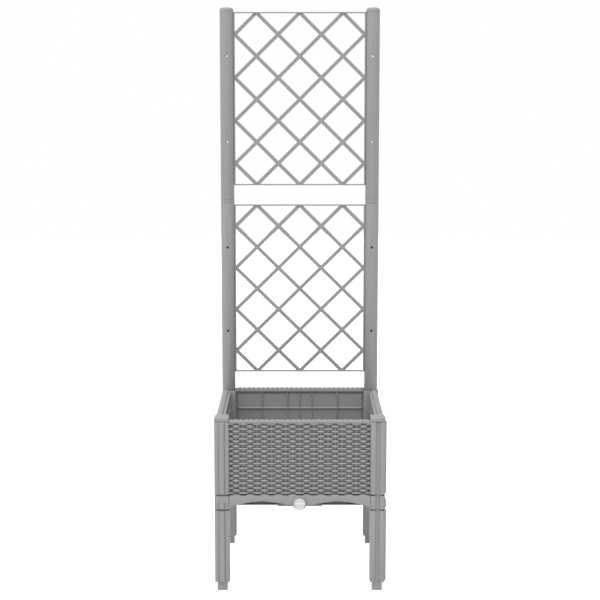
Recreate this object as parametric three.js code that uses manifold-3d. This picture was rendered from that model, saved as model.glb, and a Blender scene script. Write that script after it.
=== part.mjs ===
// A square planter on four legs, with a two-storey lattice trellis standing on its back posts.
// Millimetres, +Z up. The front faces -Y. The planter's own middle is x = y = 0 and the floor is
// z = 0; the assembly is then moved so that the origin is the middle of the outer box's foot.
import * as THREE from 'three';
import { mergeVertices } from 'three/addons/utils/BufferGeometryUtils.js';
import Module from 'manifold-3d';

const wasm = await Module();
wasm.setup();

// ---------------------------------------------------------------- driving dimensions
const PLANTER_WIDTH = 414;        // across the flat faces of the corner posts
const CLEARANCE = 0.3;            // between pieces that rest on or slide into each other
const SEAM = 0.4;                 // open joint between stacked post mouldings

// post moulding, used for the legs and for the posts at the planter's corners
const POST_SIDE = 36;
const POST_HEIGHT = 182.8;        // without its peg
const POST_ROUND = 3;             // corner radius
const POST_CHAMFER = 0.8;         // at both ends
const POST_FLOOR = 4;             // solid bottom under the hollow
const PEG_SIDE = 24;
const PEG_HEIGHT = 20.6;
const RIB_FOOT = 17;              // raised rib on one outer face
const RIB_CREST = 11.3;
const RIB_RISE = 3.4;
const CHANNEL_MOUTH = 9.4;        // sunk channel on the other outer face
const CHANNEL_FLOOR = 7.4;
const CHANNEL_DEPTH = 2.8;
const CAP_HEIGHT = 10.3;
const CAP_CHAMFER = 2.2;
const ROUND_STEPS = 2;

// wall panels between the posts
const PANEL_OUTER_INSET = 2;      // outer face behind the posts' outer faces
const PANEL_RIM = 12.2;           // thickness of the outer rim
const PANEL_GROOVE = 4.1;         // groove behind the rim
const PANEL_LIP = 4.8;            // inner lip past the groove
const PANEL_PROUD = 0.8;          // panels' tops above the posts'
const LIP_DROP = 4.5;             // lip below the rim's top
const LIP_HEIGHT = 2.4;
const GROOVE_DEPTH = 8;
const STILE_WIDTH = 4.7;          // inner frame at the panel's ends
const PANEL_SKIN = 3;             // inner skin over the hollow
const PANEL_FACE = 4.5;           // outer skin over the hollow
const HOLLOW_MARGIN = 10;         // solid at the panel's ends and top
const TONGUE_DEPTH = 3.7;
const TONGUE_THICKNESS = 7.4;
const BATTEN_WIDTH = 2.4;         // thin ribs on the inner face
const BATTEN_RISE = 2.6;
const BATTENS_ACROSS = [-100, -33, 0, 33, 100];
const BATTENS_UP = [74, 129.5];   // above the panel's bottom

// corner sockets, the skirts between them, and the water tray behind the skirts
const SOCKET_HEIGHT = 36.3;
const SOCKET_RIB_HEIGHT = 24;
const SKIRT_THICKNESS = 3;
const SKIRT_INSET = 0.4;          // skirt's face behind the sockets' faces
const SKIRT_TOP_DROP = 0.4;       // skirts' tops below the sockets' tops
const SKIRT_LEG_DROP = 31.8;      // skirt's lower edge below the sockets' tops, beside them
const SKIRT_BRACKET_DROP = 22.9;
const SKIRT_BRACKET_REACH = 23;   // width of the curved bracket beside a socket
const SKIRT_ARCH_DROP = 15.4;     // at the top of each arch
const SKIRT_ARCH_PLACE = 90;      // from the middle
const SKIRT_MIDDLE_DROP = 25.3;
const SKIRT_MIDDLE_HALF = 19;
const TRAY_INSET = 10;            // tray wall behind the skirt's outer face
const TRAY_WALL = 3;
const TRAY_DROP = 24.5;           // tray's underside below the sockets' tops
const SUMP_HALF_WIDTH = 54;
const SUMP_DROP = 3;
const TRAY_FLANGE_TOP_DROP = 3.9; // flange's top below the sockets' tops
const TRAY_FLANGE_THICKNESS = 2.5;
const TRAY_FLANGE_REACH = 6;      // outwards from the tray's wall
const LEDGE_THICKNESS = 3;        // ledge behind the skirt that carries the flange

// perforated floor plate
const GRATE_THICKNESS = 3;
const GRATE_SLOT = [6, 24];
const GRATE_COUNT = [7, 6];       // slots across, rows
const GRATE_PITCH = [42, 50];

// drain at the middle of the front
const DRAIN_HEIGHT_BELOW_TOP = 18.1;
const BOSS_RADIUS = 15.2;
const BOSS_FLARE_RADIUS = 17.8;
const BOSS_FLARE_DROP = 8;        // the flare ends this far below the drain's axis
const BOSS_REACH = 4;             // in front of the skirt
const DRAIN_NECK_RADIUS = 10.5;
const DRAIN_BORE_RADIUS = 6.3;
const PLUG_SHANK_RADIUS = 6;
const PLUG_SHANK_LENGTH = 12.4;   // inside the bore
const PLUG_HEAD_RADIUS = 13.6;
const PLUG_HEAD_THICKNESS = 8.6;
const PLUG_RIM = 2.4;
const PLUG_DISH = 1.6;            // depth of the dish in the head's face
const PLUG_GRIP_WIDTH = 4.6;      // bar across the dish
const PLUG_NOTCHES = 18;
const PLUG_NOTCH_RADIUS = 0.9;
const PLUG_NOTCH_SIDES = 6;
const SEAL_THICKNESS = 1.8;
const SEAL_RADIUS = 10.6;

// trellis tubes
const TUBE_RADIUS = 17.75;
const TUBE_WALL = 3;
const TUBE_OFFSET = 0.4;          // tube axis outside the post axis
const LOWER_TUBE_LENGTH = 497.4;
const UPPER_TUBE_LENGTH = 481.6;
const COLLAR_HEIGHT = 8.5;
const SLEEVE_REACH = 31;          // coupler's sleeve past its collar, each way
const ADAPTER_PEG_HEIGHT = 19.5;
const ADAPTER_REACH = 40;         // adapter's round spigot above the post
const FITTING_WALL = 3;
const TUBE_CAP_RIM = 8;
const TUBE_CAP_CROWN = 5;
const TUBE_CAP_PLATEAU = 11;      // radius of the cap's flat top
const TUBE_CAP_PLUG = 14;
const CROSS_HOLE_RADIUS = 3;
const TUBE_SIDES = 24;
const HOLE_SIDES = 12;

// lattice panels, upper and lower
const LATTICE_COUNT = [3, 4];     // pitches across and up
const LATTICE_TOP_GAPS = [-2, 4.2];      // top edge below its tubes' upper ends
const LATTICE_FOOT_GAPS = [37.4, 47.4];  // bottom edge above its tubes' lower ends
const LATTICE_BAR = 3;
const LATTICE_DEPTH = 11.5;
const SLAT_WIDTH = 9.2;
const SLAT_DEPTH = 5;
const CROSS_HOLE_PITCHES = [1, 3];
const TAB_HEIGHT = 16;            // tabs that reach into the tubes
const TAB_THICKNESS = 4;
const TAB_REACH = 24;

// ---------------------------------------------------------------- derived places
const HALF = PLANTER_WIDTH / 2;
const POST_AXIS = HALF - POST_SIDE / 2;
const POST_INNER = HALF - POST_SIDE;
const POST_BORE = PEG_SIDE + 2 * CLEARANCE;
const LEG_TOP = PEG_HEIGHT + POST_HEIGHT;
const SOCKET_BOTTOM = LEG_TOP + SEAM;
const SOCKET_TOP = SOCKET_BOTTOM + SOCKET_HEIGHT;
const POST_BOTTOM = SOCKET_TOP + SEAM;
const POST_TOP = POST_BOTTOM + POST_HEIGHT;
const SKIRT_TOP = SOCKET_TOP - SKIRT_TOP_DROP;
const PANEL_BOTTOM = SKIRT_TOP + CLEARANCE;
const PANEL_TOP = POST_TOP + PANEL_PROUD;
const PANEL_OUTER = HALF - PANEL_OUTER_INSET;
const PANEL_FIELD = PANEL_OUTER - PANEL_RIM - PANEL_GROOVE;
const PANEL_INNER = PANEL_FIELD - PANEL_LIP;
const BETWEEN_POSTS = POST_INNER - CLEARANCE;     // half width of what stands between two posts
const TONGUE_MIDDLE = PANEL_OUTER - PANEL_RIM / 2;
const TRAY_OUTER = HALF - TRAY_INSET;
const TRAY_UNDERSIDE = SOCKET_TOP - TRAY_DROP;
const FLANGE_TOP = SOCKET_TOP - TRAY_FLANGE_TOP_DROP;
const FLANGE_UNDERSIDE = FLANGE_TOP - TRAY_FLANGE_THICKNESS;
const FLANGE_OUTER = TRAY_OUTER + TRAY_FLANGE_REACH;
const LEDGE_TOP = FLANGE_UNDERSIDE - CLEARANCE;
const LEDGE_UNDERSIDE = LEDGE_TOP - LEDGE_THICKNESS;
const DRAIN_Z = SOCKET_TOP - DRAIN_HEIGHT_BELOW_TOP;
const SKIRT_FACE = HALF - SKIRT_INSET;
const BOSS_FACE = SKIRT_FACE + BOSS_REACH;
const SEAL_FRONT = BOSS_FACE + CLEARANCE + SEAL_THICKNESS;
const PLUG_BACK = SEAL_FRONT + CLEARANCE;
const PLUG_FRONT = PLUG_BACK + PLUG_HEAD_THICKNESS;
const TUBE_X = POST_AXIS + TUBE_OFFSET;
const TUBE_Y = POST_AXIS;
const TUBE_BOTTOM = POST_TOP + CLEARANCE;
const COLLAR_BOTTOM = TUBE_BOTTOM + LOWER_TUBE_LENGTH + CLEARANCE;
const UPPER_TUBE_BOTTOM = COLLAR_BOTTOM + COLLAR_HEIGHT + CLEARANCE;
const UPPER_TUBE_TOP = UPPER_TUBE_BOTTOM + UPPER_TUBE_LENGTH;
const TUBE_CAP_BOTTOM = UPPER_TUBE_TOP + CLEARANCE;
const SPIGOT_RADIUS = TUBE_RADIUS - TUBE_WALL - CLEARANCE;
const LATTICE_HALF_WIDTH = TUBE_X - TUBE_RADIUS - CLEARANCE;
const LATTICE_PITCH_X = 2 * (LATTICE_HALF_WIDTH - LATTICE_BAR) / LATTICE_COUNT[0];

// The two storeys of the trellis, upper first: where its tubes and its lattice panel stand.
const STOREYS = [[UPPER_TUBE_BOTTOM, UPPER_TUBE_LENGTH], [TUBE_BOTTOM, LOWER_TUBE_LENGTH]]
  .map(([tubeBottom, tubeLength], i) => {
    const latticeTop = tubeBottom + tubeLength - LATTICE_TOP_GAPS[i];
    const rise = latticeTop - LATTICE_BAR - tubeBottom - LATTICE_FOOT_GAPS[i];
    return { tubeBottom, tubeLength, latticeTop, pitchZ: rise / LATTICE_COUNT[1] };
  });

// ---------------------------------------------------------------- materials
const GREY = { color: 0x9c9ea1, roughness: 0.5, metalness: 0 };
const WHITE = { color: 0xe4e4e2, roughness: 0.35, metalness: 0 };
const RUBBER = { color: 0x2b2b2c, roughness: 0.8, metalness: 0 };

// ---------------------------------------------------------------- solids
function solidOf(geometry) {
  const bare = geometry.clone();
  bare.deleteAttribute('normal');
  bare.deleteAttribute('uv');
  const merged = mergeVertices(bare, 1e-4);
  return new wasm.Manifold(new wasm.Mesh({
    numProp: 3,
    vertProperties: new Float32Array(merged.attributes.position.array),
    triVerts: new Uint32Array(merged.index.array),
  }));
}

function geometryOf(solid) {
  const mesh = solid.getMesh();
  const geometry = new THREE.BufferGeometry();
  geometry.setAttribute('position', new THREE.BufferAttribute(mesh.vertProperties, 3));
  geometry.setIndex(new THREE.BufferAttribute(mesh.triVerts, 1));
  geometry.computeVertexNormals();
  return geometry;
}

const join = (...solids) => solids.reduce((all, next) => all.add(next));
const cut = (body, ...tools) => tools.reduce((left, tool) => left.subtract(tool), body);

// A block between two opposite corners.
function block(low, high) {
  const size = high.map((value, i) => value - low[i]);
  const middle = high.map((value, i) => (value + low[i]) / 2);
  return solidOf(new THREE.BoxGeometry(...size).translate(...middle));
}

// A square block about the Z axis.
function squareBlock(side, bottom, top) {
  return block([-side / 2, -side / 2, bottom], [side / 2, side / 2, top]);
}

// A round body about the Z axis, from a profile of [radius, height] that runs anticlockwise.
function turned(profile, sides = TUBE_SIDES) {
  return solidOf(new THREE.LatheGeometry(profile.map(([r, z]) => new THREE.Vector2(r, z)), sides)
    .rotateX(Math.PI / 2));
}

function tube(outer, inner, bottom, top) {
  return turned([[inner, bottom], [outer, bottom], [outer, top], [inner, top], [inner, bottom]]);
}

function rod(radius, bottom, top, sides = TUBE_SIDES) {
  return turned([[0, bottom], [radius, bottom], [radius, top], [0, top]], sides);
}

// Turns a body that was made along +Z to run along -Y, with z = 0 at y = 0.
const alongFront = (solid) => solid.rotate([90, 0, 0]);

// A square block with its corners notched out: reach and waist are half widths.
function crossBlock(reach, waist, bottom, top) {
  return join(
    block([-reach, -waist, bottom], [reach, waist, top]),
    block([-waist, -reach, bottom], [waist, reach, top]),
  );
}

// ---------------------------------------------------------------- post moulding
function roundedSquare(side, radius) {
  const reach = side / 2 - radius;
  const shape = new THREE.Shape();
  [[1, 1, 0], [-1, 1, 1], [-1, -1, 2], [1, -1, 3]].forEach(([sx, sy, quarter]) => {
    const start = quarter * Math.PI / 2;
    shape.absarc(sx * reach, sy * reach, radius, start, start + Math.PI / 2, false);
  });
  return shape;
}

// A square post section with its ends chamfered.
function postBlank(height, chamfer) {
  return solidOf(new THREE.ExtrudeGeometry(roundedSquare(POST_SIDE, POST_ROUND), {
    depth: height - 2 * chamfer,
    curveSegments: ROUND_STEPS,
    bevelEnabled: true,
    bevelSegments: 1,
    bevelThickness: chamfer,
    bevelSize: chamfer,
    bevelOffset: -chamfer,
  }).translate(0, 0, chamfer));
}

// The raised rib on the -Y face; its sides and ends slope.
function raisedRib(height, embed = 1) {
  const slope = (RIB_FOOT - RIB_CREST) / 2;
  const shape = new THREE.Shape();
  shape.moveTo(-RIB_FOOT / 2, 0);
  shape.lineTo(RIB_FOOT / 2, 0);
  shape.lineTo(RIB_FOOT / 2, height);
  shape.lineTo(-RIB_FOOT / 2, height);
  shape.closePath();
  const geometry = new THREE.ExtrudeGeometry(shape, {
    depth: embed,
    bevelEnabled: true,
    bevelSegments: 1,
    bevelThickness: RIB_RISE,
    bevelSize: slope,
    bevelOffset: -slope,
  });
  geometry.rotateX(Math.PI / 2);
  return solidOf(geometry.translate(0, embed - POST_SIDE / 2, 0));
}

// The sunk channel on the -X face.
function sunkChannel(bottom, top) {
  const face = -POST_SIDE / 2;
  const slope = (CHANNEL_MOUTH - CHANNEL_FLOOR) / 2;
  const shape = new THREE.Shape();
  shape.moveTo(face - CHANNEL_DEPTH, -CHANNEL_MOUTH / 2 - slope);
  shape.lineTo(face + CHANNEL_DEPTH, -CHANNEL_FLOOR / 2);
  shape.lineTo(face + CHANNEL_DEPTH, CHANNEL_FLOOR / 2);
  shape.lineTo(face - CHANNEL_DEPTH, CHANNEL_MOUTH / 2 + slope);
  shape.closePath();
  const options = { depth: top - bottom, bevelEnabled: false };
  return solidOf(new THREE.ExtrudeGeometry(shape, options).translate(0, 0, bottom));
}

// Legs and corner posts are one moulding: a hollow body, open at the top, on a solid square peg.
// Its rib is on -Y and its channel on -X; z = 0 is the body's bottom.
function postMoulding() {
  const body = join(
    postBlank(POST_HEIGHT, POST_CHAMFER),
    raisedRib(POST_HEIGHT),
    squareBlock(PEG_SIDE, -PEG_HEIGHT, POST_FLOOR),
  );
  return cut(
    body,
    sunkChannel(-1, POST_HEIGHT + 1),
    squareBlock(POST_BORE, POST_FLOOR, POST_HEIGHT + 1),
  );
}

// The slots that hold the tongues of two panels or of two skirts, at the front left corner.
function tongueSlots(bottom, top) {
  const middle = POST_AXIS - TONGUE_MIDDLE;
  const half = TONGUE_THICKNESS / 2 + CLEARANCE;
  const start = POST_SIDE / 2 - TONGUE_DEPTH - CLEARANCE;
  const along = block([start, middle - half, bottom], [POST_SIDE, middle + half, top]);
  const across = block([middle - half, start, bottom], [middle + half, POST_SIDE, top]);
  return join(along, across);
}

// The four corners, with the front left one as modelled and the others its mirror images.
const CORNERS = [
  ['front_left', -1, -1], ['front_right', 1, -1], ['back_right', 1, 1], ['back_left', -1, 1],
];

// Mirrors a body made for the front left corner into another corner.
function facing(solid, sideX, sideY) {
  const across = sideX > 0 ? solid.mirror([1, 0, 0]) : solid;
  return sideY > 0 ? across.mirror([0, 1, 0]) : across;
}

// On the left the rib faces the front or back; on the right it faces the side.
function handed(solid, sideX, sideY) {
  const swapped = sideX > 0 ? solid.rotate([0, 0, 90]) : solid;
  return sideY > 0 ? swapped.mirror([0, 1, 0]) : swapped;
}

// ---------------------------------------------------------------- base
// The skirt's outline: its lower edge runs through a bracket, an arch and a middle lobe.
function skirtOutline() {
  const low = (drop) => SOCKET_TOP - drop;
  const knots = [
    [BETWEEN_POSTS, SKIRT_LEG_DROP], [BETWEEN_POSTS - SKIRT_BRACKET_REACH, SKIRT_BRACKET_DROP],
    [SKIRT_ARCH_PLACE, SKIRT_ARCH_DROP], [SKIRT_MIDDLE_HALF, SKIRT_MIDDLE_DROP],
  ];
  const edge = [...knots.map(([x, drop]) => [-x, drop]), ...knots.reverse()];
  const shape = new THREE.Shape();
  shape.moveTo(BETWEEN_POSTS, SKIRT_TOP);
  shape.lineTo(-BETWEEN_POSTS, SKIRT_TOP);
  shape.lineTo(-BETWEEN_POSTS, low(SKIRT_LEG_DROP));
  edge.slice(1).forEach(([x, drop], i) => {
    const [lastX, lastDrop] = edge[i];
    if (drop === lastDrop) shape.lineTo(x, low(drop));
    else shape.quadraticCurveTo((lastX + x) / 2, low(Math.min(lastDrop, drop)), x, low(drop));
  });
  shape.closePath();
  return shape;
}

// The front skirt: an upright board with its double-arched lower edge, a ledge for the tray's
// flange, and tongues that rest in the corner sockets' slots.
function skirt() {
  const options = { depth: SKIRT_THICKNESS, curveSegments: 4, bevelEnabled: false };
  const board = solidOf(new THREE.ExtrudeGeometry(skirtOutline(), options)
    .rotateX(Math.PI / 2).translate(0, SKIRT_THICKNESS - SKIRT_FACE, 0));
  const ledge = block([-BETWEEN_POSTS, -SKIRT_FACE + 1, LEDGE_UNDERSIDE],
    [BETWEEN_POSTS, -TRAY_OUTER - CLEARANCE, LEDGE_TOP]);
  const tongue = block(
    [-BETWEEN_POSTS - TONGUE_DEPTH, -TONGUE_MIDDLE - TONGUE_THICKNESS / 2, LEDGE_UNDERSIDE],
    [BETWEEN_POSTS + TONGUE_DEPTH, -TRAY_OUTER - CLEARANCE, LEDGE_TOP],
  );
  return join(board, ledge, tongue);
}

const drainRod = (radius, from, to) => alongFront(rod(radius, from, to)).translate([0, 0, DRAIN_Z]);

// The front skirt has a round boss with a flared lower lip, bored for the plug, and its ledge
// leaves room for the tray's neck.
function drainSkirt() {
  const inSkirt = SKIRT_FACE - SKIRT_THICKNESS / 2;
  const flare = alongFront(turned([[0, inSkirt], [BOSS_FLARE_RADIUS, inSkirt],
    [BOSS_FLARE_RADIUS, SKIRT_FACE + SKIRT_INSET], [BOSS_RADIUS - 1, BOSS_FACE - 1],
    [0, BOSS_FACE - 1]])).translate([0, 0, DRAIN_Z]);
  const belowFlare = block([-HALF, -2 * HALF, 0], [HALF, 0, DRAIN_Z - BOSS_FLARE_DROP]);
  return cut(
    join(skirt(), drainRod(BOSS_RADIUS, inSkirt, BOSS_FACE), cut(flare, belowFlare)),
    drainRod(DRAIN_BORE_RADIUS, POST_INNER, BOSS_FACE + 1),
    drainRod(DRAIN_NECK_RADIUS + CLEARANCE, POST_INNER, SKIRT_FACE - SKIRT_THICKNESS),
  );
}

// The water tray: walls on a floor with a sunk sump, an outward flange, and the drain's neck.
function baseTray() {
  const inside = TRAY_OUTER - TRAY_WALL;
  const waistInside = BETWEEN_POSTS - TRAY_WALL;
  const sumpBottom = TRAY_UNDERSIDE - SUMP_DROP;
  return cut(
    join(
      crossBlock(TRAY_OUTER, BETWEEN_POSTS, TRAY_UNDERSIDE, FLANGE_TOP),
      crossBlock(FLANGE_OUTER, BETWEEN_POSTS, FLANGE_UNDERSIDE, FLANGE_TOP),
      block([-SUMP_HALF_WIDTH, -TRAY_OUTER, sumpBottom],
        [SUMP_HALF_WIDTH, TRAY_OUTER, TRAY_UNDERSIDE + 1]),
      drainRod(DRAIN_NECK_RADIUS, inside + 1, SKIRT_FACE - SKIRT_THICKNESS - CLEARANCE),
    ),
    crossBlock(inside, waistInside, TRAY_UNDERSIDE + TRAY_WALL, SOCKET_TOP),
    block([-SUMP_HALF_WIDTH + TRAY_WALL, -inside, sumpBottom + TRAY_WALL],
      [SUMP_HALF_WIDTH - TRAY_WALL, inside, TRAY_UNDERSIDE + TRAY_WALL + 1]),
    drainRod(DRAIN_BORE_RADIUS, POST_INNER, BOSS_FACE),
  );
}

// A corner socket: a short post blank on a peg that enters the leg. A post stands in it.
function cornerSocket() {
  const floor = SOCKET_HEIGHT - PEG_HEIGHT - CLEARANCE;
  const body = join(
    postBlank(SOCKET_HEIGHT, POST_CHAMFER),
    raisedRib(SOCKET_RIB_HEIGHT),
    squareBlock(PEG_SIDE, -PEG_HEIGHT, POST_FLOOR),
  );
  return cut(
    body,
    sunkChannel(-1, SOCKET_HEIGHT + 1),
    squareBlock(POST_BORE, floor, SOCKET_HEIGHT + 1),
  );
}

// The plate that keeps the soil above the water: a cross that clears the corner posts.
function floorPlate() {
  const bottom = FLANGE_TOP + CLEARANCE;
  const top = bottom + GRATE_THICKNESS;
  const slots = [];
  for (let column = 0; column < GRATE_COUNT[0]; column += 1) {
    for (let row = 0; row < GRATE_COUNT[1]; row += 1) {
      const x = (column - (GRATE_COUNT[0] - 1) / 2) * GRATE_PITCH[0];
      const y = (row - (GRATE_COUNT[1] - 1) / 2) * GRATE_PITCH[1];
      slots.push(block(
        [x - GRATE_SLOT[0] / 2, y - GRATE_SLOT[1] / 2, bottom - 1],
        [x + GRATE_SLOT[0] / 2, y + GRATE_SLOT[1] / 2, top + 1],
      ));
    }
  }
  return cut(crossBlock(FLANGE_OUTER, BETWEEN_POSTS, bottom, top), ...slots);
}

// ---------------------------------------------------------------- wall panel
// The front panel: outer rim, groove, inner lip, thin battens, hollow from below.
function wallPanel() {
  const top = PANEL_TOP;
  const bottom = PANEL_BOTTOM;
  const half = BETWEEN_POSTS;
  const rimBack = PANEL_OUTER - PANEL_RIM;
  const lipTop = top - LIP_DROP;
  const slab = (from, to, left, right, low, high) => block([left, -from, low], [right, -to, high]);
  const hollowTop = top - GROOVE_DEPTH - HOLLOW_MARGIN;
  const outer = join(
    slab(PANEL_OUTER, rimBack, -half, half, bottom, top),
    slab(rimBack + 1, PANEL_FIELD, -half, half, bottom, top - GROOVE_DEPTH),
    slab(TONGUE_MIDDLE + TONGUE_THICKNESS / 2, TONGUE_MIDDLE - TONGUE_THICKNESS / 2,
      -half - TONGUE_DEPTH, half + TONGUE_DEPTH, POST_BOTTOM, top - LIP_DROP),
  );
  const lip = slab(PANEL_FIELD, PANEL_INNER, -half, half, lipTop - LIP_HEIGHT, lipTop);
  const lipRoot = slab(PANEL_FIELD + PANEL_SKIN, PANEL_FIELD - 1, -half, half,
    top - GROOVE_DEPTH - 1, lipTop);
  const stiles = [-1, 1].map((side) => slab(PANEL_FIELD + 1, PANEL_INNER,
    side < 0 ? -half : half - STILE_WIDTH, side < 0 ? -half + STILE_WIDTH : half, bottom, lipTop));
  const upright = BATTENS_ACROSS.map((x) => slab(PANEL_FIELD + 1, PANEL_FIELD - BATTEN_RISE,
    x - BATTEN_WIDTH / 2, x + BATTEN_WIDTH / 2, bottom, lipTop - 1));
  const level = BATTENS_UP.map((z) => slab(PANEL_FIELD + 1, PANEL_FIELD - BATTEN_RISE,
    -half + 1, half - 1, bottom + z - BATTEN_WIDTH / 2, bottom + z + BATTEN_WIDTH / 2));
  const hollow = slab(PANEL_OUTER - PANEL_FACE, PANEL_FIELD + PANEL_SKIN, -half + HOLLOW_MARGIN,
    half - HOLLOW_MARGIN, bottom - 1, hollowTop);
  return cut(join(outer, lipRoot, lip, ...stiles, ...upright, ...level), hollow);
}

// ---------------------------------------------------------------- caps, adapters, couplers
function postCap() {
  const shape = roundedSquare(POST_SIDE, POST_ROUND);
  const body = solidOf(new THREE.ExtrudeGeometry(shape, {
    depth: CAP_HEIGHT - CAP_CHAMFER - POST_CHAMFER,
    curveSegments: ROUND_STEPS,
    bevelEnabled: true,
    bevelSegments: 1,
    bevelThickness: CAP_CHAMFER,
    bevelSize: CAP_CHAMFER,
    bevelOffset: -CAP_CHAMFER,
  }).translate(0, 0, POST_CHAMFER));
  const below = squareBlock(2 * POST_SIDE, -POST_SIDE, 0);
  return join(cut(body, below), squareBlock(PEG_SIDE, -ADAPTER_PEG_HEIGHT, POST_CHAMFER));
}

// Square peg below for the post, round spigot above for the tube, open through the middle.
// The spigot stands off the peg's axis, outwards, as the tube does.
function tubeAdapter(sideX) {
  return cut(
    join(
      squareBlock(PEG_SIDE, -ADAPTER_PEG_HEIGHT, 0),
      rod(PEG_SIDE / 2, -1, 2 * CLEARANCE),
      rod(SPIGOT_RADIUS, CLEARANCE, ADAPTER_REACH).translate([sideX * TUBE_OFFSET, 0, 0]),
    ),
    rod(PEG_SIDE / 2 - FITTING_WALL, -ADAPTER_PEG_HEIGHT - 1, ADAPTER_REACH + 1),
  );
}

function tubeCoupler() {
  const inner = SPIGOT_RADIUS - FITTING_WALL;
  const low = -SLEEVE_REACH;
  const high = COLLAR_HEIGHT + SLEEVE_REACH;
  return turned([
    [inner, low], [SPIGOT_RADIUS, low], [SPIGOT_RADIUS, 0], [TUBE_RADIUS, 0],
    [TUBE_RADIUS, COLLAR_HEIGHT], [SPIGOT_RADIUS, COLLAR_HEIGHT], [SPIGOT_RADIUS, high],
    [inner, high], [inner, low],
  ]);
}

function tubeCap() {
  const top = TUBE_CAP_RIM + TUBE_CAP_CROWN;
  return turned([
    [0, -TUBE_CAP_PLUG], [SPIGOT_RADIUS, -TUBE_CAP_PLUG], [SPIGOT_RADIUS, 0], [TUBE_RADIUS, 0],
    [TUBE_RADIUS, TUBE_CAP_RIM], [TUBE_CAP_PLATEAU, top], [0, top],
  ]);
}

// ---------------------------------------------------------------- trellis
// A tube of the left side, with cross holes along Y and slots for the lattice's tabs.
function trellisTube({ tubeBottom, tubeLength, latticeTop, pitchZ }) {
  const cutters = CROSS_HOLE_PITCHES.map((pitch) => {
    const z = latticeTop - LATTICE_BAR / 2 - pitch * pitchZ - tubeBottom;
    const hole = alongFront(rod(CROSS_HOLE_RADIUS, -2 * TUBE_RADIUS, 2 * TUBE_RADIUS, HOLE_SIDES));
    const slot = block(
      [0, -TAB_THICKNESS / 2 - CLEARANCE, -TAB_HEIGHT / 2 - CLEARANCE],
      [2 * TUBE_RADIUS, TAB_THICKNESS / 2 + CLEARANCE, TAB_HEIGHT / 2 + CLEARANCE],
    );
    return join(hole, slot).translate([0, 0, z]);
  });
  return cut(tube(TUBE_RADIUS, TUBE_RADIUS - TUBE_WALL, 0, tubeLength), ...cutters);
}

// One lattice panel, with z = 0 at the top edge of its top bar.
function latticePanel({ pitchZ }) {
  const pitchX = LATTICE_PITCH_X;
  const [across, up] = LATTICE_COUNT;
  const barMiddle = -LATTICE_BAR / 2;
  const bottom = -LATTICE_BAR - up * pitchZ;
  const half = LATTICE_HALF_WIDTH;
  const depth = LATTICE_DEPTH / 2;
  const run = Math.hypot(pitchX, pitchZ);
  const tilt = THREE.MathUtils.radToDeg(Math.atan2(pitchZ, pitchX));
  const slatLength = (across + up + 2) * run;
  const slat = block(
    [-slatLength, -SLAT_DEPTH / 2, -SLAT_WIDTH / 2],
    [slatLength, SLAT_DEPTH / 2, SLAT_WIDTH / 2],
  );
  const slats = [];
  for (let k = -up - 1; k < across - 1; k += 1) {
    slats.push(slat.rotate([0, tilt, 0]).translate([k * pitchX, 0, barMiddle]));
    slats.push(slat.rotate([0, -tilt, 0]).translate([-k * pitchX, 0, barMiddle]));
  }
  const window = block([-half, -depth, bottom], [half, depth, 0]);
  const opening = block(
    [-half + LATTICE_BAR, -depth - 1, bottom + LATTICE_BAR],
    [half - LATTICE_BAR, depth + 1, -LATTICE_BAR],
  );
  const frame = cut(window, opening);
  const tabs = CROSS_HOLE_PITCHES.flatMap((pitch) => [-1, 1].map((side) => {
    const from = side * (half - 1);
    const to = side * (half + TAB_REACH);
    const z = barMiddle - pitch * pitchZ;
    const plate = block(
      [Math.min(from, to), -TAB_THICKNESS / 2, z - TAB_HEIGHT / 2],
      [Math.max(from, to), TAB_THICKNESS / 2, z + TAB_HEIGHT / 2],
    );
    const hole = alongFront(rod(CROSS_HOLE_RADIUS, -TAB_REACH, TAB_REACH, HOLE_SIDES))
      .translate([side * TUBE_X, 0, z]);
    return cut(plate, hole);
  }));
  return join(frame, join(...slats).intersect(window), ...tabs);
}

// ---------------------------------------------------------------- drain plug
function drainPlug() {
  const face = PLUG_HEAD_THICKNESS;
  const dish = PLUG_HEAD_RADIUS - PLUG_RIM;
  const chamfer = PLUG_DISH;
  const head = turned([
    [0, -SEAL_THICKNESS - 2 * CLEARANCE - PLUG_SHANK_LENGTH],
    [PLUG_SHANK_RADIUS, -SEAL_THICKNESS - 2 * CLEARANCE - PLUG_SHANK_LENGTH],
    [PLUG_SHANK_RADIUS, 0], [PLUG_HEAD_RADIUS, 0],
    [PLUG_HEAD_RADIUS, face - chamfer], [PLUG_HEAD_RADIUS - chamfer, face],
    [dish, face], [dish, face - PLUG_DISH], [0, face - PLUG_DISH],
  ], 2 * PLUG_NOTCHES);
  const grip = block(
    [-dish - PLUG_RIM / 4, -PLUG_GRIP_WIDTH / 2, face - 2 * PLUG_DISH],
    [dish + PLUG_RIM / 4, PLUG_GRIP_WIDTH / 2, face],
  );
  const notches = [];
  for (let i = 0; i < PLUG_NOTCHES; i += 1) {
    const angle = (i * 2 * Math.PI) / PLUG_NOTCHES;
    notches.push(rod(PLUG_NOTCH_RADIUS, PLUG_DISH, face + 1, PLUG_NOTCH_SIDES)
      .translate([PLUG_HEAD_RADIUS * Math.cos(angle), PLUG_HEAD_RADIUS * Math.sin(angle), 0]));
  }
  return cut(join(head, grip), ...notches);
}

// ---------------------------------------------------------------- assembly
const assembly = new THREE.Group();

function place(name, solid, finish, position = [0, 0, 0], turn = 0) {
  const mesh = new THREE.Mesh(geometryOf(solid), new THREE.MeshStandardMaterial(finish));
  mesh.name = name;
  mesh.position.set(...position);
  mesh.rotation.z = turn;
  assembly.add(mesh);
}

place('base_tray', baseTray(), GREY);
place('skirt_front', drainSkirt(), GREY);
['right', 'back', 'left'].forEach((side, i) => {
  place(`skirt_${side}`, skirt(), GREY, [0, 0, 0], (i + 1) * Math.PI / 2);
});
place('floor_plate', floorPlate(), GREY);

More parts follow.
